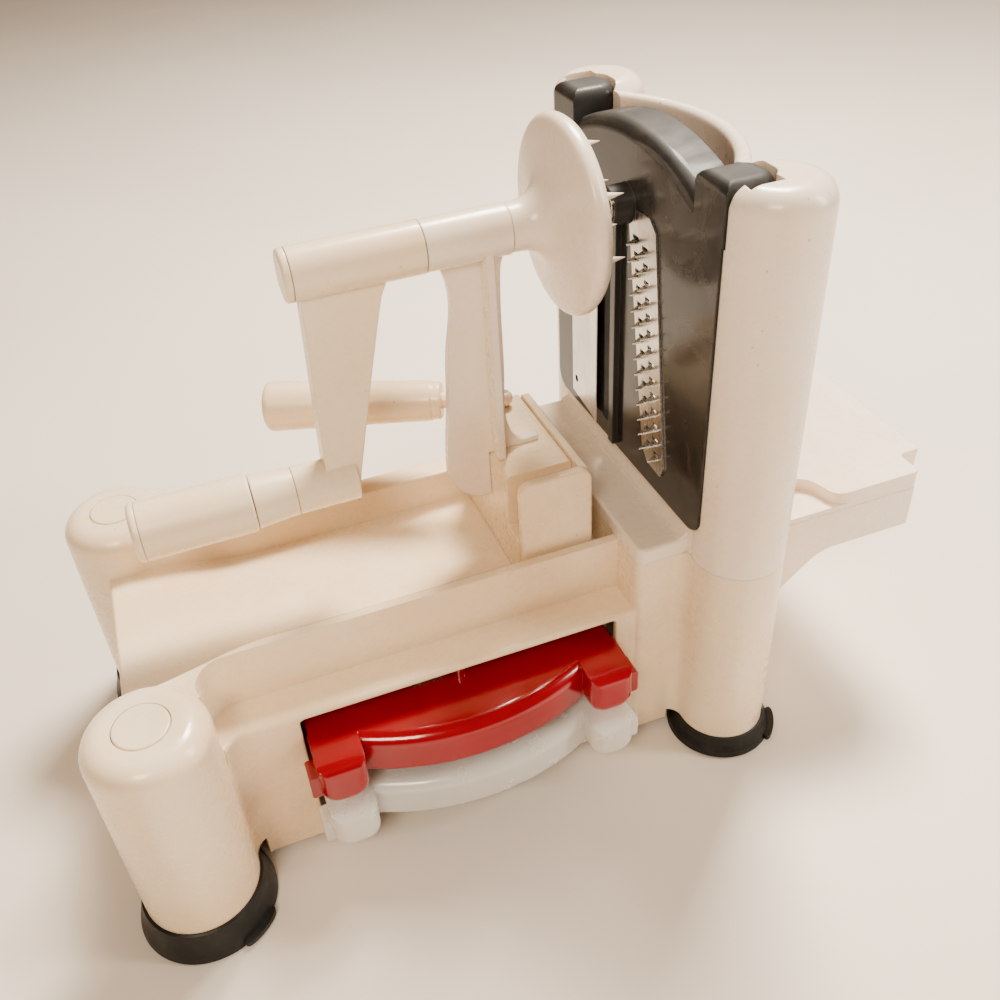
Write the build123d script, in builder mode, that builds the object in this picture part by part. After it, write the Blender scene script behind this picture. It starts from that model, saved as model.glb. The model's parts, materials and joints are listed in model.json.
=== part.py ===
from build123d import *
import math
import os

os.makedirs("parts", exist_ok=True)

# ------------------------------------------------------------------ driving dimensions (mm)
# Machine coordinates: X along the tray towards the blade, Y = 0 on the crank axis, Z = 0 on the table.
ox, oy = -35.05, 0.0           # places the origin under the middle of the outline

leg_x, leg_y, leg_r, leg_top = -114.0, 63.6, 22.4, 105.1
leg_foot_z, leg_foot_r = 14.3, 26.9
pillar_x, pillar_y, pillar_r, pillar_top = 114.0, 62.6, 18.1, 250.3
pillar_foot_z, pillar_foot_r = 9.4, 22.1
wall = 2.6

seam_z = 100.5                 # joint between lower and upper mouldings
rail_z = 100.5
floor_z = 85.0
ledge_z = 75.7
body_y = 54.4                  # near face of the housing
body_far = 66.5                # far face of the housing
body_bottom = 4.0
tray_end = -123.0
rail_in = 34.5
rail_near = 38.2
rail_far = 44.5
cross_x0, cross_x1, cross_y = 75.0, 128.0, 55.5
cross_top = 107.5
sill_x0, sill_top = 95.9, 112.9

slot_x0, slot_x1, slot_z0, slot_z1 = -63.2, 66.9, 9.0, 72.9
roof_z = 73.2

deck_x0, deck_x1, deck_y, deck_top = 104.0, 211.0, 59.0, 108.5
deck_corner_x, deck_notch_y = 200.6, 46.2   # its corners are cut back
box_x1, box_z0 = 199.6, 81.5

holder_w = 63.2                # half width of a blade holder
holder_x = 95.2                # its front face when in use
holder_t = 4.0
holder_z0 = 113.2              # its lower edge when in use
holder_len = 137.6             # up to the crown of the arch
arch_u, arch_v = 46.0, 126.9   # where the arch ends, inside the lugs
lug_v, lug_u0, lug_u1, lug_w = 137.0, 45.4, 63.8, 19.8
rim_w = 16.5                   # depth of the arched rim
stored_cx = 1.7                # middle of the stored red holder along X
clear_dx = 0.9                 # the clear one lies a little further
stored_y = 62.3                # their lower edges, deep in the housing
red_z, clear_z = 64.5, 36.5    # upper faces of the stored holders

guard_cx, guard_r, guard_t, guard_top = 59.2, 72.0, 5.6, 248.0

crank_z = 222.9
throw = 86.2
grip_z = crank_z - throw

# handle at the far side of the carriage: pivot and the line of the handle
piv = (54.0, 27.2, 135.6)
hdl_end = (-40.0, 69.6, 133.4)


def top(h):
    return Plane(origin=(ox, oy, h), x_dir=(1, 0, 0), z_dir=(0, 0, 1))


def px(x):
    return Plane(origin=(ox + x, oy, 0), x_dir=(0, 1, 0), z_dir=(1, 0, 0))


def py(y):
    return Plane(origin=(ox, oy + y, 0), x_dir=(1, 0, 0), z_dir=(0, -1, 0))


def nearest(shapes, x, y, z=None):
    if z is None:
        return min(shapes, key=lambda v: (v.X - x) ** 2 + (v.Y - y) ** 2)
    c = (ox + x, oy + y, z)
    return min(shapes, key=lambda e: (e.center() - Vector(*c)).length)


def put(builder, name):
    builder.part.label = name
    export_step(builder.part, "parts/" + name + ".step")


def sweep_in(y_rail, r):
    """Arc of radius r that leads a rail's outer face into the round leg: on the leg, half way, on the rail (X only)."""
    dy = leg_y - (y_rail + r)
    cx = leg_x + math.sqrt((leg_r + r) ** 2 - dy ** 2)
    k = leg_r / (leg_r + r)
    a = (leg_x + k * (cx - leg_x), leg_y - k * dy)
    a0 = math.atan2(a[1] - (y_rail + r), a[0] - cx) % (2 * math.pi)
    am = (a0 + 1.5 * math.pi) / 2
    return a, (cx + r * math.cos(am), y_rail + r + r * math.sin(am)), cx


na, nb, nc = sweep_in(rail_near, 11.0)
fa, fb, fc = sweep_in(rail_far, 9.0)

# ================================================================== base
with BuildPart() as base_housing:
    # round legs with a soft rim
    with BuildSketch(top(body_bottom)):
        with Locations((leg_x, leg_y), (leg_x, -leg_y)):
            Circle(leg_r)
    extrude(amount=leg_top - body_bottom)
    fillet([e for e in base_housing.edges().filter_by(GeomType.CIRCLE) if e.center().Z > leg_top - 0.1], 8.5)
    # housing up to the ledge, with the legs and pillars blended into its long sides
    with BuildSketch(top(body_bottom)) as s:
        with Locations(((tray_end + 100.0) / 2, (body_far - body_y) / 2)):
            Rectangle(100.0 - tray_end, body_far + body_y)
        with Locations((leg_x, leg_y), (leg_x, -leg_y)):
            Circle(leg_r)
        fillet(nearest(s.vertices(), leg_x + 20.4, -body_y), 8)
        fillet(nearest(s.vertices(), leg_x + 20.8, body_far), 8)
    extrude(amount=ledge_z - body_bottom)
    # block that carries the upper frame
    with BuildSketch(top(body_bottom)) as s:
        with Locations(((cross_x0 + cross_x1) / 2, 0)):
            Rectangle(cross_x1 - cross_x0, 2 * cross_y)
        with Locations((pillar_x, pillar_y), (pillar_x, -pillar_y)):
            Circle(pillar_r)
        for sy in (-1, 1):
            v = nearest(s.vertices(), pillar_x - 16.7, sy * cross_y)
            fillet(v, 6)
        fillet([v for v in s.vertices() if v.X < cross_x0 + 1], 3)
    extrude(amount=seam_z - body_bottom)
    # bed under the tray
    with BuildSketch(top(ledge_z - 1)):
        with Locations(((tray_end + cross_x0 + 1) / 2, (rail_far - rail_near) / 2)):
            Rectangle(cross_x0 + 1 - tray_end, rail_far + rail_near)
    extrude(amount=floor_z - ledge_z + 1)
    # near rail, opening out into the leg
    with BuildSketch(top(ledge_z - 1)) as s:
        with BuildLine():
            Line((cross_x0 + 1, -rail_in), (-66, -rail_in))
            Spline((-66, -rail_in), (-88, -38.0), (-110, -42.8), tangents=((-1, 0), (-1, -0.15)))
            Line((-110, -42.8), (-112, -60))
            Line((-112, -60), (na[0], -na[1]))
            ThreePointArc((na[0], -na[1]), (nb[0], -nb[1]), (nc, -rail_near))
            Line((nc, -rail_near), (cross_x0 + 1, -rail_near))
            Line((cross_x0 + 1, -rail_near), (cross_x0 + 1, -rail_in))
        make_face()
    extrude(amount=rail_z - ledge_z + 1)
    # far rail
    with BuildSketch(top(ledge_z - 1)) as s:
        with BuildLine():
            Line((cross_x0 + 1, rail_in), (-62, rail_in))
            Spline((-62, rail_in), (-85, 39.0), (-110, 42.8), tangents=((-1, 0), (-1, 0.15)))
            Line((-110, 42.8), (-112, 60))
            Line((-112, 60), fa)
            ThreePointArc(fa, fb, (fc, rail_far))
            Line((fc, rail_far), (cross_x0 + 1, rail_far))
            Line((cross_x0 + 1, rail_far), (cross_x0 + 1, rail_in))
        make_face()
    extrude(amount=rail_z - ledge_z + 1)
    # hollow underneath: housing, bed, block
    with BuildSketch(top(body_bottom - 1)):
        with Locations(((tray_end + wall + 96.0) / 2, (body_far - body_y) / 2)):
            Rectangle(96.0 - tray_end - wall, body_far + body_y - 2 * wall)
    extrude(amount=roof_z - body_bottom + 1, mode=Mode.SUBTRACT)
    with BuildSketch(top(roof_z - 1)):
        with Locations(((tray_end + wall + 73.0) / 2, 0)):
            Rectangle(73.0 - tray_end - wall, 2 * (rail_in - 0.5))
    extrude(amount=floor_z - wall - roof_z + 1, mode=Mode.SUBTRACT)
    with BuildSketch(top(body_bottom - 1)):
        with Locations(((78.0 + 99.0) / 2, 0)):
            Rectangle(21.0, 2 * (cross_y - wall - 0.4))
    extrude(amount=seam_z - wall - body_bottom + 1, mode=Mode.SUBTRACT)
    # legs and pillars are tubes
    with BuildSketch(top(body_bottom - 1)):
        with Locations((leg_x, leg_y), (leg_x, -leg_y)):
            Circle(leg_r - wall)
    extrude(amount=leg_top - 8 - body_bottom, mode=Mode.SUBTRACT)
    with BuildSketch(top(body_bottom - 1)):
        with Locations((pillar_x, pillar_y), (pillar_x, -pillar_y)):
            Circle(pillar_r - wall)
    extrude(amount=seam_z - 6 - body_bottom + 1, mode=Mode.SUBTRACT)
    # screw holes in the pillar tops
    with BuildSketch(top(seam_z)):
        with Locations((pillar_x, pillar_y), (pillar_x, -pillar_y)):
            Circle(2.4)
    extrude(amount=-8, mode=Mode.SUBTRACT)
    # room for the feet
    with BuildSketch(top(0)):
        with Locations((leg_x, leg_y), (leg_x, -leg_y)):
            Circle(leg_foot_r + 1.2)
    extrude(amount=leg_foot_z, mode=Mode.SUBTRACT)
    with BuildSketch(top(0)):
        with Locations((pillar_x, pillar_y), (pillar_x, -pillar_y)):
            Circle(pillar_foot_r + 1.2)
    extrude(amount=pillar_foot_z, mode=Mode.SUBTRACT)
    # slot for the stored holders
    with BuildSketch(py(-body_y + 4)):
        with Locations(((slot_x0 + slot_x1) / 2, (slot_z0 + slot_z1) / 2)):
            RectangleRounded(slot_x1 - slot_x0, slot_z1 - slot_z0, 2.0)
    extrude(amount=8, mode=Mode.SUBTRACT)
    # recess for the flush caps on the legs
    with BuildSketch(top(leg_top)):
        with Locations((leg_x, leg_y), (leg_x, -leg_y)):
            Circle(10.2)
    extrude(amount=-3, mode=Mode.SUBTRACT)
    # soft moulded edges: ledge, far rail, end of the tray, mouth of the slot
    for y, z, r in ((-body_y, ledge_z, 1.6), (rail_in, rail_z, 1.0)):
        fillet([e for e in base_housing.edges() if e.length > 50 and abs(e.bounding_box().min.Z - z) < 0.05 and abs(e.bounding_box().max.Z - z) < 0.05
                and abs(e.bounding_box().min.Y - oy - y) < 0.05 and abs(e.bounding_box().max.Y - oy - y) < 0.05], r)
    fillet([e for e in base_housing.edges() if e.length > 30 and abs(e.bounding_box().min.Z - floor_z) < 0.05
            and abs(e.bounding_box().max.Z - floor_z) < 0.05 and abs(e.bounding_box().max.X - ox - tray_end) < 0.05], 1.5)
    fillet([e for e in base_housing.edges() if abs(e.bounding_box().min.Y - oy + body_y) < 0.05 and abs(e.bounding_box().max.Y - oy + body_y) < 0.05
            and slot_x0 - 2 < e.center().X - ox < slot_x1 + 2 and slot_z0 - 1 < e.center().Z < slot_z1 + 0.5], 0.8)
print("base solids", len(base_housing.solids()))
put(base_housing, "base_housing")

with BuildPart() as leg_buttons:
    with BuildSketch(top(leg_top - 2.9)):
        with Locations((leg_x, leg_y), (leg_x, -leg_y)):
            Circle(9.95)
    extrude(amount=3.3)
put(leg_buttons, "leg_buttons")


def foot(name, x, ys, r, z1, stem_r, a0):
    """Suction foot: flared skirt, neck ring, stem pushed into the leg, pull tab on the rim."""
    with BuildPart() as b:
        for y in ys:
            with BuildSketch(Plane(origin=(ox + x, oy + y, 0), x_dir=(1, 0, 0), z_dir=(0, -1, 0))):
                with BuildLine():
                    Polyline((0, 2.2), (r - 7, 1.4), (r - 4.4, 0), (r - 0.9, 0), (r, 0.9), (r - 0.6, 3.4),
                             (r - 2.2, z1 * 0.62), (r - 3.4, z1 - 0.5), (r - 4.2, z1 - 0.05),
                             (stem_r, z1 - 0.05), (stem_r, z1 + 16), (stem_r - 1.5, z1 + 17.5),
                             (0, z1 + 17.5), (0, 2.2))
                make_face()
            revolve(axis=Axis((ox + x, oy + y, 0), (0, 0, 1)))
            tx = x + (r - 0.5) * math.cos(math.radians(a0))
            ty = y + (r - 0.5) * math.sin(math.radians(a0))
            with BuildSketch(Plane(origin=(ox + tx, oy + ty, 1.2), x_dir=(-math.sin(math.radians(a0)), math.cos(math.radians(a0)), 0), z_dir=(0, 0, 1))):
                Ellipse(8.5, 2.6)
            extrude(amount=2.2)
    put(b, name)


foot("front_feet", leg_x, (leg_y, -leg_y), leg_foot_r, leg_foot_z, leg_r - wall - 0.1, -50)
foot("rear_feet", pillar_x, (pillar_y, -pillar_y), pillar_foot_r, pillar_foot_z, pillar_r - wall - 0.1, -35)

with BuildPart() as rear_box:
    # box behind the block, its underside sweeping down to the rear wall
    with BuildSketch(py(0)):
        with BuildLine():
            Polyline((cross_x1 + 0.05, seam_z), (box_x1, seam_z), (box_x1, box_z0), (164, box_z0))
            Spline((164, box_z0), (150, 75.0), (140, 66.0), (130, 52.0), (cross_x1 + 0.05, 44.0), tangents=((-1, 0), (-0.35, -1)))
            Line((cross_x1 + 0.05, 44.0), (cross_x1 + 0.05, seam_z))
        make_face()
    extrude(amount=deck_y, both=True)
    with BuildSketch(top(seam_z)):
        with Locations(((cross_x1 + box_x1) / 2, 0)):
            Rectangle(box_x1 - cross_x1 - 2 * wall, 2 * (deck_y - wall))
    extrude(amount=-(seam_z - box_z0 - wall), mode=Mode.SUBTRACT)
    with BuildSketch(top(30)):
        with Locations((pillar_x, pillar_y), (pillar_x, -pillar_y)):
            Circle(pillar_r + 0.03)
    extrude(amount=80, mode=Mode.SUBTRACT)
put(rear_box, "rear_box")

# ================================================================== upper frame
with BuildPart() as cross_member:
    with BuildSketch(top(seam_z)) as s:
        with Locations(((cross_x0 + 100.0) / 2, 0)):
            Rectangle(100.0 - cross_x0, 2 * (cross_y + 0.6))
        fillet([v for v in s.vertices() if v.X < cross_x0 + 1], 3.3)
    extrude(amount=cross_top - seam_z)
    fillet([e for e in cross_member.edges() if abs(e.center().Z - cross_top) < 0.01 and e.center().X < ox + 99], 1.4)

with BuildPart() as deck_plate:
    with BuildSketch(top(seam_z + 2.6)) as s:
        with BuildLine():
            Spline((103, -41), (150, -41.2), (157.5, -46), (160.5, -55), (168, -deck_y), tangents=((1, 0), (1, 0)))
            Polyline((168, -deck_y), (deck_corner_x, -deck_y), (deck_corner_x, -deck_notch_y), (deck_x1, -deck_notch_y),
                     (deck_x1, deck_notch_y), (deck_corner_x, deck_notch_y), (deck_corner_x, deck_y), (168, deck_y))
            Spline((168, deck_y), (160.5, 55), (157.5, 46), (150, 41.2), (103, 41), tangents=((-1, 0), (-1, 0)))
            Line((103, 41), (103, -41))
        make_face()
        fillet([v for v in s.vertices() if v.X > 190], 2.2)
    extrude(amount=deck_top - seam_z - 2.6)

with BuildPart() as blade_frame:
    # pillars with a soft rim
    with BuildSketch(top(seam_z)):
        with Locations((pillar_x, pillar_y), (pillar_x, -pillar_y)):
            Circle(pillar_r)
    extrude(amount=pillar_top - seam_z)
    fillet([e for e in blade_frame.edges().filter_by(GeomType.CIRCLE) if e.center().Z > pillar_top - 0.1], 8)
    # front wall under the window
    with BuildSketch(top(seam_z)) as s:
        with Locations(((sill_x0 + 104.0) / 2, 0)):
            Rectangle(104.0 - sill_x0, 2 * (pillar_y - 4.6))
    extrude(amount=sill_top - seam_z)
    # cross member in front of it
    add(cross_member.part)
    # concave run from the cross member up to the window sill
    with BuildSketch(py(0)):
        with BuildLine():
            Polyline((sill_x0 - 3.4, cross_top), (sill_x0 - 3.4, cross_top + 0.9))
            Spline((sill_x0 - 3.4, cross_top + 0.9), (sill_x0 - 0.9, cross_top + 2.0), (sill_x0, cross_top + 4.6), tangents=((1, 0), (0, 1)))
            Polyline((sill_x0, cross_top + 4.6), (sill_x0 + 2, cross_top + 4.6), (sill_x0 + 2, cross_top), (sill_x0 - 3.4, cross_top))
        make_face()
    extrude(amount=cross_y, both=True)
    # flat deck behind, corners cut back, near edges swept in towards the pillars
    with BuildSketch(top(seam_z)) as s:
        with BuildLine():
            Polyline((100, -deck_y), (deck_corner_x, -deck_y), (deck_corner_x, -deck_notch_y), (deck_x1, -deck_notch_y),
                     (deck_x1, deck_notch_y), (deck_corner_x, deck_notch_y), (deck_corner_x, deck_y), (100, deck_y), (100, -deck_y))
        make_face()
        fillet([v for v in s.vertices() if v.X > 190], 2.2)
    extrude(amount=2.6)
    add(deck_plate.part)
    # curved guard behind the holder, standing between the pillars
    ga = math.radians(-51.5)
    with BuildSketch(Plane(origin=(ox + guard_cx, oy, 0), x_dir=(math.cos(ga), math.sin(ga), 0), z_dir=(math.sin(ga), -math.cos(ga), 0))) as s:
        with Locations((guard_r - guard_t / 2, (186 + guard_top) / 2)):
            Rectangle(guard_t, guard_top - 186)
        fillet([v for v in s.vertices() if v.Y > guard_top - 1], 2.5)
    revolve(axis=Axis((ox + guard_cx, oy, 0), (0, 0, 1)), revolution_arc=103)
    # room for the holder: plate, lugs and the arch's ends
    with BuildSketch(px(80)) as s:
        with Locations((0, (holder_z0 - 0.3 + 262) / 2)):
            Rectangle(2 * (holder_w + 0.25), 262 - holder_z0 + 0.3)
        fillet([v for v in s.vertices() if v.Y < 150], 8.2)
    extrude(amount=holder_x + holder_t + 0.3 - 80, mode=Mode.SUBTRACT)
    with BuildSketch(top(holder_z0 + lug_v - 20.5)) as s:
        for sy in (-1, 1):
            with Locations(((80 + holder_x + lug_w + 0.4) / 2, sy * (lug_u0 + lug_u1) / 2)):
                Rectangle(holder_x + lug_w + 0.4 - 80, lug_u1 - lug_u0 + 0.8)
        fillet([v for v in s.vertices() if v.X > 100], 7.2)
        for sy in (-1, 1):
            with Locations((holder_x + 11.5, sy * (lug_u1 + 0.9))):
                Rectangle(11.8, 5.9)
    extrude(amount=40, mode=Mode.SUBTRACT)
    with BuildSketch(px(80)) as s:
        with BuildLine():
            Line((-46.3, 235.6), (-46.3, 262))
            Polyline((-46.3, 262), (46.3, 262), (46.3, 235.6))
            ThreePointArc((46.3, 235.6), (0, 246.3), (-46.3, 235.6))
        make_face()
    extrude(amount=holder_x + rim_w + 0.5 - 80, mode=Mode.SUBTRACT)
    # pillars are hollow from below
    with BuildSketch(top(seam_z - 1)):
        with Locations((pillar_x + 1.5, pillar_y), (pillar_x + 1.5, -pillar_y)):
            Circle(11.5)
        with Locations((pillar_x, pillar_y), (pillar_x, -pillar_y)):
            Circle(5, mode=Mode.SUBTRACT)
    extrude(amount=112, mode=Mode.SUBTRACT)
    with BuildSketch(top(seam_z - 2)):
        with Locations((pillar_x, pillar_y), (pillar_x, -pillar_y)):
            Circle(2.0)
    extrude(amount=30, mode=Mode.SUBTRACT)
print("frame solids", len(blade_frame.solids()))
put(blade_frame, "blade_frame")

with BuildPart() as frame_screws:
    with BuildSketch(top(seam_z - 9.2)):
        with Locations((pillar_x, pillar_y), (pillar_x, -pillar_y)):
            Circle(4.0)
    extrude(amount=3.2)
    with BuildSketch(top(seam_z - 6.0)):
        with Locations((pillar_x, pillar_y), (pillar_x, -pillar_y)):
            Circle(1.95)
    extrude(amount=26)
put(frame_screws, "frame_screws")


# ================================================================== blade holders
in_use = Plane(origin=(ox + holder_x, oy, holder_z0), x_dir=(0, 1, 0), z_dir=(1, 0, 0))


def stored(z, dx=0.0):
    return Plane(origin=(ox + stored_cx + dx, oy + stored_y, z), x_dir=(1, 0, 0), z_dir=(0, 0, -1))


def across(P, v):
    """Plane square to the holder at height v: local x across, local y out of the front face."""
    return Plane(origin=P.origin + P.y_dir * v, x_dir=P.x_dir, z_dir=P.y_dir)


core_v = crank_z - holder_z0          # the coring ring sits on the crank axis
core_r, core_out = 5.8, 8.0           # outer radius, reach in front of the plate
fine_r, fine_out = 1.4, 6.0           # the stored holders carry a finer one


def make_holder(P, name, comb, ring_r, ring_out):
    # arched crown, its rim deep and strongly rounded in front
    with BuildPart() as crown:
        with BuildSketch(P):
            with BuildLine():
                Polyline((arch_u, arch_v), (arch_u, 100), (-arch_u, 100), (-arch_u, arch_v))
                ThreePointArc((-arch_u, arch_v), (0, holder_len), (arch_u, arch_v))
            make_face()
        extrude(amount=holder_t)
        with BuildSketch(P):
            with BuildLine():
                ThreePointArc((arch_u, arch_v), (0, holder_len), (-arch_u, arch_v))
                Line((-arch_u, arch_v), (-arch_u, arch_v - 3.2))
                ThreePointArc((-arch_u, arch_v - 3.2), (0, holder_len - 3.2), (arch_u, arch_v - 3.2))
                Line((arch_u, arch_v - 3.2), (arch_u, arch_v))
            make_face()
        extrude(amount=rim_w)
        arcs = [e for e in crown.edges().filter_by(GeomType.CIRCLE) if e.length > 80 and abs((e.center() - P.origin).dot(P.z_dir)) < 0.01]
        fillet(max(arcs, key=lambda e: (e.center() - P.origin).dot(P.y_dir)), 5.2)
    # lugs: deep tabs with rounded ends
    with BuildPart() as lugs:
        for sx in (-1, 1):
            with BuildSketch(across(P, lug_v)) as s:
                with Locations((sx * (lug_u0 + lug_u1) / 2, -lug_w / 2)):
                    Rectangle(lug_u1 - lug_u0, lug_w)
                fillet([v for v in s.vertices() if v.Y < 1 - lug_w], 7)
            extrude(amount=-20)
        fillet([e for e in lugs.edges() if abs((e.center() - P.origin).dot(P.y_dir) - lug_v) < 0.01], 4.2)
    with BuildPart() as b:
        # plate
        with BuildSketch(P) as s:
            with Locations((0, 59)):
                Rectangle(2 * holder_w, 118)
            fillet([v for v in s.vertices() if v.Y < 1], 8)
        extrude(amount=holder_t)
        add(crown.part)
        add(lugs.part)
        # small step on the outside of each lug
        for sx in (-1, 1):
            with BuildSketch(across(P, lug_v - 4.6)):
                with Locations((sx * (lug_u1 + 0.9), -11.5)):
                    RectangleRounded(5.2, 11, 1.2)
            extrude(amount=-9)
        # collar round the coring ring and rib beside the slot
        with BuildSketch(P):
            with Locations((0, core_v)):
                Circle(ring_r + 1.4)
        extrude(amount=-ring_out)
        with BuildSketch(P):
            with Locations((5.4, 52)):
                Rectangle(4.2, 100)
        extrude(amount=-2.4)
        with BuildSketch(P.offset(-10)):
            with Locations((0, core_v)):
                Circle(ring_r + 0.06)
        extrude(amount=24, mode=Mode.SUBTRACT)
        # discharge slots
        with BuildSketch(P.offset(-1)):
            with Locations((12.4, 56)):
                Rectangle(8.6, 96)
            if comb:
                with BuildLine():
                    Polyline((-7.5, 105), (-20, 105), (-32.5, 15), (-22.5, 12), close=True)
                make_face()
        extrude(amount=8, mode=Mode.SUBTRACT)
    print(name, len(b.solids()))
    put(b, name)


def make_blades(P, prefix, comb, ring_r, ring_out, ring_t):
    with BuildPart() as b:
        with BuildSketch(across(P, 5.5)):
            with BuildLine():
                Polyline((46.2, 0.08), (46.2, 0.95), (24.5, 2.6), (17.2, 3.6), (17.0, 3.2), (24.3, 1.8), (44, 0.08), close=True)
            make_face()
        extrude(amount=100)
        with BuildSketch(P.offset(-6)):
            with Locations((41.4, 13.4)):
                Circle(1.6)
        extrude(amount=8, mode=Mode.SUBTRACT)
    put(b, prefix + "straight_blade")
    with BuildPart() as b:
        with BuildSketch(P.offset(-ring_out - 0.6)):
            with Locations((0, core_v)):
                Circle(ring_r)
                Circle(ring_r - ring_t, mode=Mode.SUBTRACT)
        extrude(amount=ring_out + 0.6 + 3.9)
    put(b, prefix + "coring_ring")
    if comb:
        with BuildPart() as b:
            with BuildSketch(P.offset(-0.08)):
                with BuildLine():
                    Polyline((-3.4, 106.5), (-7, 110.5), (-19, 110.5), (-23.6, 106.5), (-36.8, 14), (-35, 9.8), (-24, 10.6), (-19.6, 16), close=True)
                make_face()
                with Locations((0, core_v)):
                    Circle(ring_r + 2.0, mode=Mode.SUBTRACT)
                for i in range(14):
                    t = (i + 0.5) / 14
                    with Locations((-10.5 - 16.0 * t + 1.8, 103 - 86 * t), (-10.5 - 16.0 * t - 5.2, 101.2 - 86 * t)):
                        Rectangle(4.2, 1.6, mode=Mode.SUBTRACT)
            extrude(amount=-0.8)
            for i in range(14):
                t = (i + 0.5) / 14
                v = 103 - 86 * t - 1.1
                u = -10.5 - 16.0 * t
                for du, dv in ((1.8, 0.0), (-5.2, -1.8)):
                    with BuildSketch(across(P, v + dv)):
                        with BuildLine():
                            Polyline((u + du - 2.0, 0.5), (u + du + 2.0, 0.5), (u + du - 1.2, 5.2), close=True)
                        make_face()
                    extrude(amount=-0.7)
        put(b, prefix + "comb_blade")


make_holder(in_use, "blade_holder", True, core_r, core_out)
make_blades(in_use, "", True, core_r, core_out, 0.6)
make_holder(stored(red_z), "red_holder", True, fine_r, fine_out)
make_blades(stored(red_z), "red_", True, fine_r, fine_out, 0.5)
make_holder(stored(clear_z, clear_dx), "clear_holder", False, fine_r, fine_out)
make_blades(stored(clear_z, clear_dx), "clear_", False, fine_r, fine_out, 0.5)

with BuildPart() as storage_rails:
    for sx in (-1, 1):
        for zt in (red_z, clear_z):
            with BuildSketch(py(-40)):
                with Locations((stored_cx + sx * 62.3, zt - holder_t - 2.1)):
                    Rectangle(9, 3.8)
            extrude(amount=-100)
        with BuildSketch(py(-40)):
            with Locations((stored_cx + sx * (holder_w + 3.0), (26 + slot_z1) / 2)):
                Rectangle(3.0, slot_z1 - 26)
        extrude(amount=-100)
put(storage_rails, "storage_rails")

# ================================================================== carriage
with BuildPart() as carriage_block:
    with BuildSketch(py(0)) as s:
        with Locations(((35.9 + 63.4) / 2, (floor_z + 3 + 131.5) / 2)):
            Rectangle(63.4 - 35.9, 131.5 - floor_z - 3)
        fillet([v for v in s.vertices() if v.Y > 130], 2.2)
    extrude(amount=20.3)
    with BuildSketch(py(0)) as s:
        with Locations(((35.9 + 63.4) / 2, (floor_z + 3 + 131.5) / 2)):
            Rectangle(63.4 - 35.9, 131.5 - floor_z - 3)
        fillet([v for v in s.vertices() if v.Y > 130], 2.2)
    extrude(amount=-33.3)
    # low part that reaches the near skirt
    with BuildSketch(py(-20)):
        with Locations(((35.9 + 63.4) / 2, (floor_z + 3 + 108) / 2)):
            Rectangle(63.4 - 35.9, 108 - floor_z - 3)
    extrude(amount=9.5)
    # hollow from below
    with BuildSketch(top(floor_z + 2)):
        with Locations(((35.9 + 63.4) / 2, 6.5)):
            Rectangle(63.4 - 35.9 - 5, 48)
    extrude(amount=131.5 - floor_z - 5, mode=Mode.SUBTRACT)
    # boss for the handle's pivot pin
    with BuildSketch(top(floor_z + 20)):
        with Locations((piv[0], piv[1])):
            Circle(4.5)
    extrude(amount=131.5 - floor_z - 20.5)
    with BuildSketch(top(floor_z + 24)):
        with Locations((piv[0], piv[1])):
            Circle(1.55)
    extrude(amount=40, mode=Mode.SUBTRACT)
    # screw holes for the post
    with BuildSketch(top(120)):
        with Locations((41.5, 0), (45.7, 0)):
            Circle(1.3)
    extrude(amount=20, mode=Mode.SUBTRACT)
put(carriage_block, "carriage_block")

with BuildPart() as carriage_skirt:
    with BuildSketch(py(-29.6)) as s:
        with Locations((51.5, (floor_z + 0.4 + 135) / 2)):
            Rectangle(30, 135 - floor_z - 0.4)
        fillet([v for v in s.vertices() if v.Y > 130], 5)
    extrude(amount=3.4)
    with BuildSketch(px(63.5)) as s:
        with Locations(((33.3 - 29.7) / 2, (floor_z + 0.4 + 132.2) / 2)):
            Rectangle(63.0, 132.2 - floor_z - 0.4)
        fillet([v for v in s.vertices() if v.Y > 130], 3)
    extrude(amount=3.0)
    fillet([e for e in carriage_skirt.edges() if abs(e.bounding_box().min.Y - oy + 33.0) < 0.05 and abs(e.bounding_box().max.Y - oy + 33.0) < 0.05], 1.2)
put(carriage_skirt, "carriage_skirt")

with BuildPart() as carriage_slide_plate:
    with BuildSketch(top(floor_z + 0.2)):
        with Locations(((36.5 + 63.4) / 2, 2)):
            RectangleRounded(63.4 - 36.5, 62.6, 2)
    extrude(amount=2.75)
put(carriage_slide_plate, "carriage_slide_plate")

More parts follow.
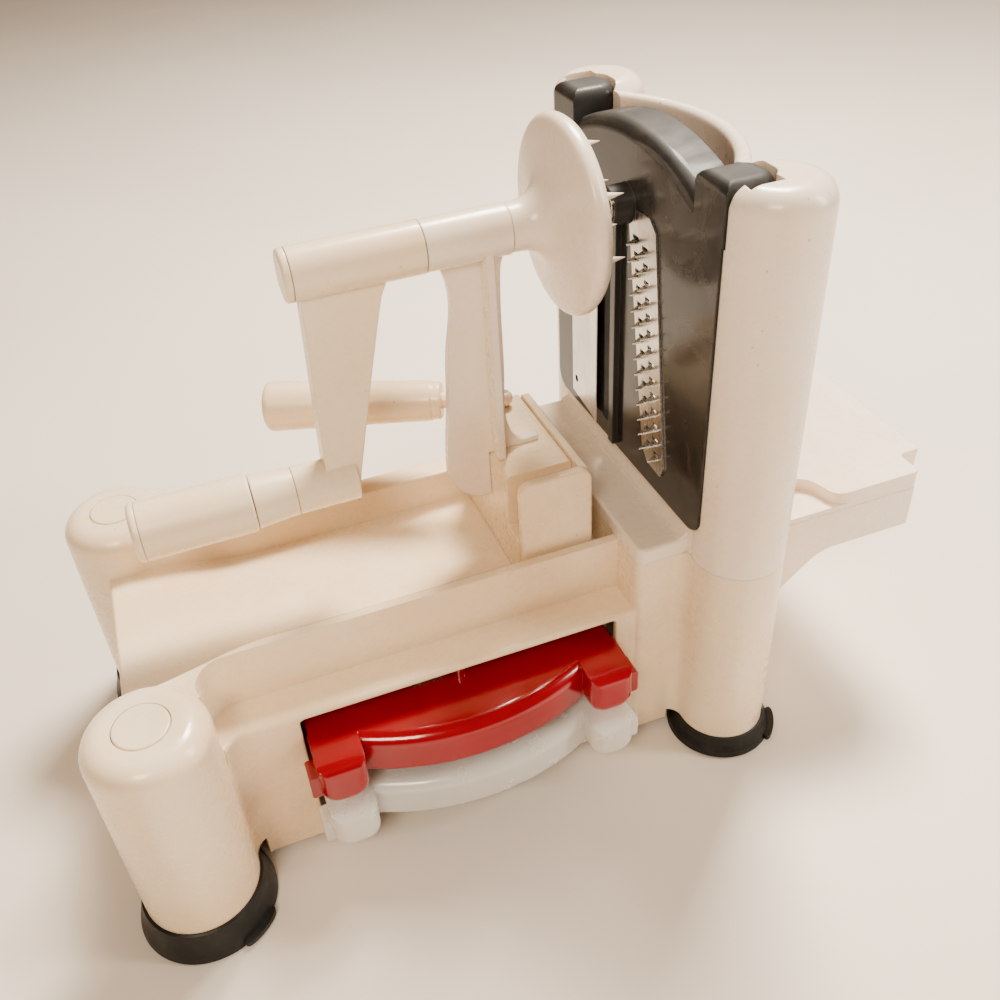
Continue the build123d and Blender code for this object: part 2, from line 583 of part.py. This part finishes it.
sleeve_x0, sleeve_x1, sleeve_r = 17.0, 48.0, 9.2
with BuildPart() as crank_post:
    # upright web
    with BuildSketch(py(0)) as s:
        with BuildLine():
            Polyline((35.8, 131.6), (35.8, 111))
            Spline((35.8, 111), (30.2, 111.6), (24.9, 114.5), (18.9, 124.5), (18.6, 130), tangents=((-1, 0), (0.02, 1)))
            Spline((18.6, 130), (21.2, 159), (22.9, 181), (25.2, 204), (22.0, 214.5), tangents=((0.02, 1), (-0.7, 1)))
            Polyline((22.0, 214.5), (22.0, 222), (46.5, 222), (46.5, 214.5))
            Spline((46.5, 214.5), (44.6, 206), (43.8, 160), (45.4, 140), (49.5, 134), (57, 134), tangents=((-0.7, -1), (1, 0)))
            Polyline((57, 134), (57, 131.6), (35.8, 131.6))
        make_face()
    extrude(amount=1.9, both=True)
    # cross flange and foot
    with BuildSketch(px(37.5)) as s:
        with BuildLine():
            Polyline((-9, 131.6), (-9, 205))
            Spline((-9, 205), (-8.6, 212), (-7.6, 218), tangents=((0, 1), (0.3, 1)))
            Line((-7.6, 218), (7.6, 218))
            Spline((7.6, 218), (8.6, 212), (9, 205), tangents=((0.3, -1), (0, -1)))
            Polyline((9, 205), (9, 131.6), (-9, 131.6))
        make_face()
    extrude(amount=3)
    # bearing sleeve
    with BuildSketch(px(sleeve_x0)):
        with Locations((0, crank_z)):
            Circle(sleeve_r)
    extrude(amount=sleeve_x1 - sleeve_x0)
    with BuildSketch(px(sleeve_x0)):
        with Locations((0, crank_z)):
            Circle(5.6)
    extrude(amount=sleeve_x1 - sleeve_x0, mode=Mode.SUBTRACT)
    with BuildSketch(top(125)):
        with Locations((41.5, 0), (45.7, 0)):
            Circle(1.25)
    extrude(amount=11.3, mode=Mode.SUBTRACT)
print("post", len(crank_post.solids()))
put(crank_post, "crank_post")

with BuildPart() as crank_bushes:
    for x0 in (sleeve_x0 + 0.1, sleeve_x1 - 8.1):
        with BuildSketch(px(x0)):
            with Locations((0, crank_z)):
                Circle(5.55)
                Circle(4.06, mode=Mode.SUBTRACT)
        extrude(amount=8)
put(crank_bushes, "crank_bushes")

with BuildPart() as post_screws:
    with BuildSketch(top(126.9)):
        with Locations((41.5, 0), (45.7, 0)):
            Circle(2.0)
    extrude(amount=1.5)
    with BuildSketch(top(128.0)):
        with Locations((41.5, 0), (45.7, 0)):
            Circle(1.2)
    extrude(amount=8.2)
put(post_screws, "post_screws")

with BuildPart() as handle_pivot_pin:
    with BuildSketch(top(floor_z + 24.5)):
        with Locations((piv[0], piv[1])):
            Circle(1.5)
    extrude(amount=piv[2] + 3.2 - floor_z - 24.5)
put(handle_pivot_pin, "handle_pivot_pin")

# ================================================================== crank
with BuildPart() as crank_arm:
    with BuildSketch(px(-29.2)):
        with Locations((0, crank_z)):
            Circle(9.4)
    extrude(amount=16.6 + 29.2)
    with BuildSketch(py(0)) as s:
        with BuildLine():
            Polyline((-27.5, 222), (-27.5, 212))
            Polyline((-27.5, 212), (-30.0, 141), (-30.0, 136), (-18.6, 130), (-16.4, 141))
            Spline((-16.4, 141), (-1.2, 205), (2.2, 214), tangents=((0.23, 1), (0.7, 1)))
            Polyline((2.2, 214), (2.2, 222), (-27.5, 222))
        make_face()
    extrude(amount=4.6, both=True)
    with BuildSketch(px(-42.2)):
        with Locations((0, grip_z)):
            Circle(9.3)
    extrude(amount=42.2 - 18.4)
    # bore for the grip's pin and the crank's shaft
    with BuildSketch(px(-45)):
        with Locations((0, grip_z)):
            Circle(3.0)
    extrude(amount=20, mode=Mode.SUBTRACT)
    with BuildSketch(px(-12)):
        with Locations((0, crank_z)):
            Circle(4.0)
    extrude(amount=40, mode=Mode.SUBTRACT)
put(crank_arm, "crank_arm")

with BuildPart() as crank_end_cap:
    with BuildSketch(px(-32.2)) as s:
        with Locations((0, crank_z)):
            Circle(9.3)
    extrude(amount=2.9)
    fillet([e for e in crank_end_cap.edges() if abs(e.center().X - (ox - 32.2)) < 0.01], 1.4)
put(crank_end_cap, "crank_end_cap")

with BuildPart() as crank_shaft:
    with BuildSketch(px(-11.9)):
        with Locations((0, crank_z)):
            Circle(4.0)
    extrude(amount=61.9)
put(crank_shaft, "crank_shaft")

wheel_r = 35.6
with BuildPart() as prong_wheel:
    with BuildSketch(Plane(origin=(ox, oy, crank_z), x_dir=(1, 0, 0), z_dir=(0, -1, 0))):
        with BuildLine():
            Polyline((50.1, 0), (50.1, 4.05), (48.4, 4.05), (48.4, 8.7))
            Spline((48.4, 8.7), (54.5, 9.2), (59.5, 12.0), (63.0, 19.5), (65.4, 30.0), (66.4, 33.4), tangents=((1, 0.05), (0.3, 1)))
            Spline((66.4, 33.4), (68.0, wheel_r - 0.3), (69.8, wheel_r), tangents=((0.35, 1), (1, 0)))
            Spline((69.8, wheel_r), (72.4, wheel_r - 1.2), (73.3, 33.0), tangents=((1, 0), (0, -1)))
            Polyline((73.3, 33.0), (73.3, 0), (50.1, 0))
        make_face()
    revolve(axis=Axis((ox, oy, crank_z), (1, 0, 0)))
    for rr, a0, n in ((25.5, 97, 7), (17.4, 126, 7)):
        for i in range(n):
            a = math.radians(a0 + i * 360.0 / n)
            c = (ox + 73.0, oy + rr * math.cos(a), crank_z + rr * math.sin(a))
            with BuildSketch(Plane(origin=c, x_dir=(1, 0, 0), z_dir=(0, -1, 0))):
                with BuildLine():
                    Polyline((0, 0), (0, 2.1), (9.6, 0.15), (9.8, 0), close=True)
                make_face()
            revolve(axis=Axis(c, (1, 0, 0)))
put(prong_wheel, "prong_wheel")

with BuildPart() as grip_collar:
    with BuildSketch(Plane(origin=(ox, oy, grip_z), x_dir=(1, 0, 0), z_dir=(0, -1, 0))):
        with BuildLine():
            Polyline((-42.3, 3.05), (-42.3, 9.25), (-58.2, 10.6), (-58.2, 3.05), close=True)
        make_face()
    revolve(axis=Axis((ox, oy, grip_z), (1, 0, 0)))
put(grip_collar, "grip_collar")

with BuildPart() as grip_pin:
    with BuildSketch(px(-95)):
        with Locations((0, grip_z)):
            Circle(2.95)
    extrude(amount=95 - 25.2)
put(grip_pin, "grip_pin")

with BuildPart() as crank_grip:
    with BuildSketch(Plane(origin=(ox, oy, grip_z), x_dir=(1, 0, 0), z_dir=(0, -1, 0))):
        with BuildLine():
            Polyline((-58.6, 3.02), (-58.6, 10.9), (-59.1, 11.4), (-99.9, 11.4), (-99.9, 3.02), close=True)
        make_face()
    revolve(axis=Axis((ox, oy, grip_z), (1, 0, 0)))
put(crank_grip, "crank_grip")

with BuildPart() as grip_cap:
    with BuildSketch(Plane(origin=(ox, oy, grip_z), x_dir=(1, 0, 0), z_dir=(0, -1, 0))):
        with BuildLine():
            Polyline((-100.0, 0), (-100.0, 11.4), (-101.2, 11.4))
            TangentArc((-101.2, 11.4), (-103, 9.6), tangent=(-1, 0))
            Polyline((-103, 9.6), (-103, 0), (-100.0, 0))
        make_face()
    revolve(axis=Axis((ox, oy, grip_z), (1, 0, 0)))
put(grip_cap, "grip_cap")

# ================================================================== handle at the side
p0 = Vector(ox + piv[0], oy + piv[1], piv[2])
p1 = Vector(ox + hdl_end[0], oy + hdl_end[1], hdl_end[2])
along = (p1 - p0).normalized()
hlen = (p1 - p0).length
hside = Vector(0, 0, 1).cross(along).normalized()
hplane = Plane(origin=p0, x_dir=along, z_dir=hside)
with BuildPart() as side_handle_stem:
    with BuildSketch(hplane):
        with BuildLine():
            Polyline((-3.5, 0), (hlen - 30, 0), (hlen - 30, 3.55), (0, 3.55), (-1.4, 3.3), (-2.5, 2.55),
                     (-3.2, 1.5), (-3.5, 0.5), (-3.5, 0))
        make_face()
    revolve(axis=Axis(p0, along))
    with BuildSketch(top(120)):
        with Locations((piv[0], piv[1])):
            Circle(1.55)
    extrude(amount=30, mode=Mode.SUBTRACT)
put(side_handle_stem, "side_handle_stem")
with BuildPart() as side_handle_grip:
    with BuildSketch(hplane):
        with BuildLine():
            Polyline((26.5, 3.6), (26.5, 7.4), (27.2, 8.1), (30.5, 8.1), (30.8, 8.6), (hlen - 3.0, 10.9))
            Spline((hlen - 3.0, 10.9), (hlen - 0.9, 10.1), (hlen, 8.0), tangents=((1, 0.03), (0, -1)))
            Polyline((hlen, 8.0), (hlen, 0), (hlen - 29.9, 0), (hlen - 29.9, 3.6), (26.5, 3.6))
        make_face()
    revolve(axis=Axis(p0, along))
put(side_handle_grip, "side_handle_grip")
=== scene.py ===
import json
import math
import bmesh
import bpy
from mathutils import Matrix, Vector


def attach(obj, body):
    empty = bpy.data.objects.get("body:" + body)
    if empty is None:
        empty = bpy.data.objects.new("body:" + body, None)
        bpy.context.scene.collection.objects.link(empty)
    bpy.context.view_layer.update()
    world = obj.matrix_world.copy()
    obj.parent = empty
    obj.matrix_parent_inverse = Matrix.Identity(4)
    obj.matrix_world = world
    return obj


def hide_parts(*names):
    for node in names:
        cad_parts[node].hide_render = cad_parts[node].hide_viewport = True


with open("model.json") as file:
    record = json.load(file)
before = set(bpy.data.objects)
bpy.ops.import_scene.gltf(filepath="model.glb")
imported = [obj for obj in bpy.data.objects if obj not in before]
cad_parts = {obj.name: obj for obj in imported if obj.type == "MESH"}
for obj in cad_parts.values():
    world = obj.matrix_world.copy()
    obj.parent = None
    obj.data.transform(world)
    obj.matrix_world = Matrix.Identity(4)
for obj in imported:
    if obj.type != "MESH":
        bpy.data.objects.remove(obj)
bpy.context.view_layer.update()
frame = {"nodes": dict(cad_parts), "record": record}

NODES = frame["nodes"]
SX, SY = -0.03505, 0.0            # machine coordinates to the frame, metres


# ------------------------------------------------------------------ camera
def rotation(az, el, roll):
    a, e, r = map(math.radians, (az, el, roll))
    back = Vector((math.sin(a) * math.cos(e), -math.cos(a) * math.cos(e), math.sin(e)))
    right = (-back).cross(Vector((0, 0, 1))).normalized()
    up = right.cross(-back)
    rr = math.cos(r) * right + math.sin(r) * up
    uu = -math.sin(r) * right + math.cos(r) * up
    return Matrix((rr, uu, back)).transposed().to_4x4()


cam_data = bpy.data.cameras.new("view")
cam = bpy.data.objects.new("view", cam_data)
bpy.context.scene.collection.objects.link(cam)
cam.matrix_world = Matrix.Translation(Vector((-0.06852 + SX, -0.31559 + SY, 0.36687))) @ rotation(-16.81, 36.93, -5.03)
cam_data.sensor_width = 36.0
cam_data.lens = 36.597
cam_data.shift_x = 0.0313
cam_data.shift_y = -0.0193
cam_data.clip_start = 0.01
cam_data.clip_end = 20.0
bpy.context.scene.camera = cam
bpy.context.scene.view_settings.look = "AgX - Medium High Contrast"


# ------------------------------------------------------------------ materials
def new_mat(name):
    m = bpy.data.materials.new(name)
    m.use_nodes = True
    nt = m.node_tree
    nt.nodes.clear()
    out = nt.nodes.new("ShaderNodeOutputMaterial")
    bsdf = nt.nodes.new("ShaderNodeBsdfPrincipled")
    nt.links.new(bsdf.outputs[0], out.inputs["Surface"])
    return m, nt, bsdf


def N(nt, kind, **vals):
    n = nt.nodes.new(kind)
    for k, v in vals.items():
        if k in n.inputs:
            n.inputs[k].default_value = v
        else:
            setattr(n, k, v)
    return n


def coords(nt, scale=(1, 1, 1)):
    tc = nt.nodes.new("ShaderNodeTexCoord")
    mp = nt.nodes.new("ShaderNodeMapping")
    mp.inputs["Scale"].default_value = scale
    nt.links.new(tc.outputs["Object"], mp.inputs["Vector"])
    return mp.outputs["Vector"]


def noise(nt, vec, scale, detail=4.0, rough=0.55, dist=0.0):
    n = N(nt, "ShaderNodeTexNoise", Scale=scale, Detail=detail, Roughness=rough, Distortion=dist)
    nt.links.new(vec, n.inputs["Vector"])
    return n.outputs["Fac"]


def ramp(nt, fac, stops):
    r = nt.nodes.new("ShaderNodeValToRGB")
    el = r.color_ramp.elements
    while len(el) < len(stops):
        el.new(0.5)
    for e, (p, c) in zip(el, stops):
        e.position = p
        e.color = c if len(c) == 4 else (*c, 1)
    nt.links.new(fac, r.inputs["Fac"])
    return r.outputs["Color"]


def maprange(nt, fac, a, b, c, d):
    m = nt.nodes.new("ShaderNodeMapRange")
    m.inputs["From Min"].default_value = a
    m.inputs["From Max"].default_value = b
    m.inputs["To Min"].default_value = c
    m.inputs["To Max"].default_value = d
    nt.links.new(fac, m.inputs["Value"])
    return m.outputs["Result"]


def mix(nt, fac, a, b, blend="MIX"):
    m = nt.nodes.new("ShaderNodeMix")
    m.data_type = "RGBA"
    m.blend_type = blend
    for key, val in (("Factor", fac), ("A", a), ("B", b)):
        sock = next(s for s in m.inputs if s.name == key and s.enabled)
        if isinstance(val, (int, float)):
            sock.default_value = val
        elif isinstance(val, tuple):
            sock.default_value = val if len(val) == 4 else (*val, 1)
        else:
            nt.links.new(val, sock)
    return next(s for s in m.outputs if s.enabled)


def bump(nt, bsdf, height, strength, distance, edge=0.0):
    b = N(nt, "ShaderNodeBump", Strength=strength, Distance=distance)
    nt.links.new(height, b.inputs["Height"])
    if edge:
        soft = nt.nodes.new("ShaderNodeBevel")
        soft.samples = 6
        soft.inputs["Radius"].default_value = edge
        nt.links.new(soft.outputs["Normal"], b.inputs["Normal"])
    nt.links.new(b.outputs["Normal"], bsdf.inputs["Normal"])


def add(nt, a, b, op="ADD"):
    m = nt.nodes.new("ShaderNodeMath")
    m.operation = op
    for i, v in enumerate((a, b)):
        if isinstance(v, (int, float)):
            m.inputs[i].default_value = v
        else:
            nt.links.new(v, m.inputs[i])
    return m.outputs[0]


def voronoi(nt, vec, scale):
    n = N(nt, "ShaderNodeTexVoronoi", Scale=scale)
    nt.links.new(vec, n.inputs["Vector"])
    return n.outputs["Distance"]


def plastic(name, base, deep, light, rough=0.26, coat=0.15, sss=0.12, wear=1.0, stain=(0.45, 0.30, 0.18)):
    """Moulded gloss plastic: faint yellowing in patches, sparse specks, fine scuffs that dull the gloss."""
    m, nt, b = new_mat(name)
    v = coords(nt)
    patches = noise(nt, v, 11.0, 4.0, 0.55, 0.4)
    col = ramp(nt, patches, [(0.30, deep), (0.50, base), (0.72, light)])
    # brownish specks and faint smears
    dot = maprange(nt, voronoi(nt, v, 190.0), 0.05, 0.11, 1.0, 0.0)
    where = maprange(nt, noise(nt, v, 34.0, 2.0, 0.5), 0.56, 0.66, 0.0, 0.55 * wear)
    col = mix(nt, add(nt, dot, where, "MULTIPLY"), col, stain)
    smear = maprange(nt, noise(nt, v, 55.0, 6.0, 0.7, 0.6), 0.60, 0.78, 0.0, 0.10 * wear)
    col = mix(nt, smear, col, stain)
    nt.links.new(col, b.inputs["Base Color"])
    scuff = noise(nt, v, 240.0, 8.0, 0.75, 0.5)
    haze = noise(nt, v, 20.0, 3.0, 0.5)
    r = maprange(nt, scuff, 0.38, 0.72, rough - 0.05, rough + 0.10 * wear)
    r2 = maprange(nt, haze, 0.3, 0.7, -0.03, 0.07)
    nt.links.new(add(nt, r, r2), b.inputs["Roughness"])
    peel = noise(nt, v, 520.0, 2.0, 0.5)
    wave = noise(nt, v, 38.0, 2.0, 0.5)
    h = add(nt, add(nt, peel, 0.22, "MULTIPLY"), wave)
    bump(nt, b, h, 0.10, 0.0005, 0.0008)
    b.inputs["Subsurface Weight"].default_value = sss
    b.inputs["Subsurface Radius"].default_value = (0.004, 0.0025, 0.0016)
    b.inputs["Subsurface Scale"].default_value = 1.0
    b.inputs["IOR"].default_value = 1.5
    b.inputs["Coat Weight"].default_value = coat
    b.inputs["Coat Roughness"].default_value = 0.10
    return m


M = {}
M["ivory_plastic"] = plastic("ivory_plastic", (0.90, 0.745, 0.56), (0.87, 0.675, 0.47), (0.92, 0.79, 0.64), stain=(0.42, 0.22, 0.10))
M["white_plastic"] = plastic("white_plastic", (0.91, 0.80, 0.69), (0.88, 0.745, 0.61), (0.93, 0.845, 0.76), stain=(0.42, 0.22, 0.10))
M["red_plastic"] = plastic("red_plastic", (0.36, 0.006, 0.016), (0.30, 0.004, 0.010), (0.42, 0.011, 0.024), rough=0.16, coat=0.8, sss=0.04, wear=0.4, stain=(0.20, 0.02, 0.02))


def charcoal():
    m, nt, b = new_mat("charcoal_plastic")
    v = coords(nt)
    swirl = noise(nt, v, 26.0, 5.0, 0.55, 3.2)
    col = ramp(nt, swirl, [(0.35, (0.028, 0.028, 0.029)), (0.55, (0.042, 0.040, 0.039)), (0.7, (0.060, 0.055, 0.050))])
    nt.links.new(col, b.inputs["Base Color"])
    haze = maprange(nt, noise(nt, v, 30.0, 6.0, 0.65, 2.5), 0.3, 0.7, 0.10, 0.26)
    geo = nt.nodes.new("ShaderNodeNewGeometry")
    split = nt.nodes.new("ShaderNodeSeparateXYZ")
    nt.links.new(geo.outputs["Normal"], split.inputs[0])
    face = maprange(nt, add(nt, split.outputs[0], 0.0, "ABSOLUTE"), 0.55, 0.85, 0.40, 0.0)
    nt.links.new(add(nt, haze, face), b.inputs["Roughness"])
    bump(nt, b, add(nt, add(nt, noise(nt, v, 500.0, 2.0, 0.5), 0.3, "MULTIPLY"), noise(nt, v, 36.0, 3.0, 0.5, 2.0)), 0.12, 0.0005, 0.0008)
    b.inputs["IOR"].default_value = 1.52
    b.inputs["Coat Weight"].default_value = 0.12
    b.inputs["Coat Roughness"].default_value = 0.10
    return m


M["charcoal_plastic"] = charcoal()


def milky():
    m, nt, b = new_mat("clear_plastic")
    v = coords(nt)
    cloud = noise(nt, v, 22.0, 3.0, 0.5, 0.4)
    col = ramp(nt, cloud, [(0.3, (0.86, 0.83, 0.78)), (0.7, (0.94, 0.92, 0.88))])
    nt.links.new(col, b.inputs["Base Color"])
    nt.links.new(maprange(nt, noise(nt, v, 90.0, 5.0, 0.6), 0.3, 0.7, 0.18, 0.30), b.inputs["Roughness"])
    bump(nt, b, noise(nt, v, 60.0, 2.0, 0.5), 0.06, 0.0005, 0.0008)
    b.inputs["Transmission Weight"].default_value = 0.22
    b.inputs["Subsurface Weight"].default_value = 0.6
    b.inputs["Subsurface Radius"].default_value = (0.008, 0.007, 0.006)
    b.inputs["Subsurface Scale"].default_value = 1.0
    b.inputs["IOR"].default_value = 1.46
    b.inputs["Coat Weight"].default_value = 0.4
    b.inputs["Coat Roughness"].default_value = 0.08
    return m


M["clear_plastic"] = milky()


def rubber():
    m, nt, b = new_mat("black_rubber")
    v = coords(nt)
    dust = noise(nt, v, 120.0, 6.0, 0.7)
    col = ramp(nt, dust, [(0.45, (0.013, 0.013, 0.013)), (0.62, (0.022, 0.022, 0.021)), (0.8, (0.06, 0.055, 0.05))])
    nt.links.new(col, b.inputs["Base Color"])
    nt.links.new(maprange(nt, noise(nt, v, 40.0, 4.0, 0.6), 0.3, 0.7, 0.32, 0.55), b.inputs["Roughness"])
    bump(nt, b, noise(nt, v, 700.0, 3.0, 0.6), 0.2, 0.0004)
    b.inputs["IOR"].default_value = 1.5
    return m


M["black_rubber"] = rubber()


def steel(name, col_lo, col_hi, rough, stretch=(3, 3, 60)):
    m, nt, b = new_mat(name)
    lines = noise(nt, coords(nt, stretch), 40.0, 3.0, 0.6)
    blot = noise(nt, coords(nt), 60.0, 4.0, 0.6, 0.5)
    nt.links.new(ramp(nt, blot, [(0.35, col_lo), (0.65, col_hi)]), b.inputs["Base Color"])
    nt.links.new(maprange(nt, lines, 0.3, 0.7, rough - 0.05, rough + 0.12), b.inputs["Roughness"])
    bump(nt, b, lines, 0.05, 0.0003)
    b.inputs["Metallic"].default_value = 1.0
    return m


M["blade_steel"] = steel("blade_steel", (0.58, 0.56, 0.53), (0.72, 0.70, 0.67), 0.22, (60, 60, 3))
M["zinc_steel"] = steel("zinc_steel", (0.50, 0.50, 0.50), (0.62, 0.62, 0.61), 0.3)
M["bush_plastic"] = plastic("bush_plastic", (0.62, 0.62, 0.60), (0.58, 0.58, 0.56), (0.66, 0.66, 0.64), rough=0.42, coat=0.0, sss=0.0)

SLOT = {p["node"]: p["material_slot"] for p in frame["record"]["subparts"]}
BODY = {n: b for b, ns in frame["record"]["behaviour"]["bodies"].items() for n in ns}


def dress(obj, slot):
    obj.data.materials.clear()
    obj.data.materials.append(M[slot])


def shade(me, angle):
    """Smooth shading with the folds sharper than the angle kept."""
    bm = bmesh.new()
    bm.from_mesh(me)
    for f in bm.faces:
        f.smooth = True
    for e in bm.edges:
        e.smooth = len(e.link_faces) == 2 and e.calc_face_angle(0) < math.radians(angle)
    bm.to_mesh(me)
    bm.free()


def sound(me, volume, box):
    """True when every face still triangulates to its own area and the piece keeps its volume and outline."""
    me.calc_loop_triangles()
    tri = [0.0] * len(me.polygons)
    for t in me.loop_triangles:
        tri[t.polygon_index] += t.area
    for p in me.polygons:
        if abs(tri[p.index] - p.area) > 0.004 * p.area + 2e-9:
            return False
    bm = bmesh.new()
    bm.from_mesh(me)
    v = abs(bm.calc_volume())
    bm.free()
    if not 0.97 * volume < v < 1.003 * volume:
        return False
    lo = [min(q.co[i] for q in me.vertices) for i in range(3)]
    hi = [max(q.co[i] for q in me.vertices) for i in range(3)]
    return all(lo[i] > box[0][i] - 1e-5 and hi[i] < box[1][i] + 1e-5 for i in range(3))


def soften(node, width, segs=3, angle=24):
    """Copy of a moulded piece whose hard edges are rounded over; the width is lowered until the result is sound."""
    src = NODES[node]
    raw = bmesh.new()
    raw.from_mesh(src.data)
    volume = abs(raw.calc_volume())
    raw.free()
    box = ([min(q.co[i] for q in src.data.vertices) for i in range(3)], [max(q.co[i] for q in src.data.vertices) for i in range(3)])
    for wd in (width, width * 0.7, width * 0.45):
        me = src.data.copy()
        bm = bmesh.new()
        bm.from_mesh(me)
        bmesh.ops.remove_doubles(bm, verts=bm.verts, dist=2e-6)
        bmesh.ops.dissolve_limit(bm, angle_limit=math.radians(0.8), verts=bm.verts, edges=bm.edges, use_dissolve_boundaries=False)
        sharp = {e for e in bm.edges if len(e.link_faces) == 2 and e.calc_face_angle(0) > math.radians(angle)}

        def clear(e):
            for v in e.verts:
                for o in v.link_edges:
                    if o is not e and o not in sharp and set(o.link_faces) & set(e.link_faces) and o.calc_length() < wd * 1.3:
                        return False
            return True

        picked = [e for e in sharp if clear(e)]
        bmesh.ops.bevel(bm, geom=picked, offset=wd, offset_type="OFFSET", segments=segs, profile=0.5,
                        affect="EDGES", clamp_overlap=False, loop_slide=True)
        bm.normal_update()
        for f in bm.faces:
            f.smooth = True
        for e in bm.edges:
            e.smooth = len(e.link_faces) == 2 and e.calc_face_angle(0) < math.radians(40)
        bm.to_mesh(me)
        bm.free()
        if sound(me, volume, box):
            obj = bpy.data.objects.new(node + "_moulded", me)
            bpy.context.scene.collection.objects.link(obj)
            obj.matrix_world = src.matrix_world.copy()
            w = obj.modifiers.new("normals", "WEIGHTED_NORMAL")
            w.keep_sharp = True
            w.weight = 60
            dress(obj, SLOT[node])
            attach(obj, BODY[node])
            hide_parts(node)
            print("softened", node, round(wd * 1000, 2))
            return obj
        bpy.data.meshes.remove(me)
    print("kept as is", node)
    return None


for name, obj in NODES.items():
    dress(obj, SLOT[name])

SOFT = {
    "base_housing": 0.0009, "leg_buttons": 0.0007, "front_feet": 0.0005, "rear_feet": 0.0005,
    "rear_box": 0.0010, "blade_frame": 0.0010, "storage_rails": 0.0005,
    "blade_holder": 0.0009, "red_holder": 0.0012, "clear_holder": 0.0012,
    "carriage_block": 0.0012, "carriage_skirt": 0.0009, "crank_post": 0.0006, "crank_arm": 0.0011,
    "crank_end_cap": 0.0004, "prong_wheel": 0.0003, "grip_collar": 0.0004, "crank_grip": 0.0003,
    "grip_cap": 0.0004, "side_handle_grip": 0.0004,
}
MADE = {}
for name, wd in SOFT.items():
    MADE[name] = soften(name, wd)

# ------------------------------------------------------------------ floor and light
bpy.ops.mesh.primitive_plane_add(size=6.0, location=(0, 0.6, -0.0002))
floor = bpy.context.active_object
floor.name = "floor"
fm, nt, b = new_mat("floor_surface")
fv = coords(nt)
nt.links.new(ramp(nt, noise(nt, fv, 3.0, 4.0, 0.5), [(0.3, (0.80, 0.735, 0.665)), (0.7, (0.86, 0.80, 0.735))]), b.inputs["Base Color"])
b.inputs["Roughness"].default_value = 0.6
floor.data.materials.append(fm)


def area(name, loc, target, size, power, color):
    ld = bpy.data.lights.new(name, "AREA")
    ld.shape = "RECTANGLE"
    ld.size, ld.size_y = size
    ld.energy = power
    ld.color = color
    lo = bpy.data.objects.new(name, ld)
    bpy.context.scene.collection.objects.link(lo)
    lo.location = loc
    lo.rotation_euler = (Vector(target) - Vector(loc)).to_track_quat("-Z", "Y").to_euler()
    return lo


area("key", (0.45, 0.50, 1.25), (0, 0, 0.1), (0.42, 0.34), 33, (1.0, 0.92, 0.80))
area("front", (-0.55, -0.95, 1.15), (0, 0, 0.1), (0.5, 0.35), 11, (1.0, 0.86, 0.68))
area("side", (1.15, -0.55, 0.75), (0.05, 0, 0.12), (0.22, 0.8), 9, (1.0, 0.95, 0.87))

world = bpy.data.worlds.new("room")
bpy.context.scene.world = world
world.use_nodes = True
bg = world.node_tree.nodes["Background"]
bg.inputs["Color"].default_value = (1.0, 0.72, 0.50, 1)
bg.inputs["Strength"].default_value = 0.25
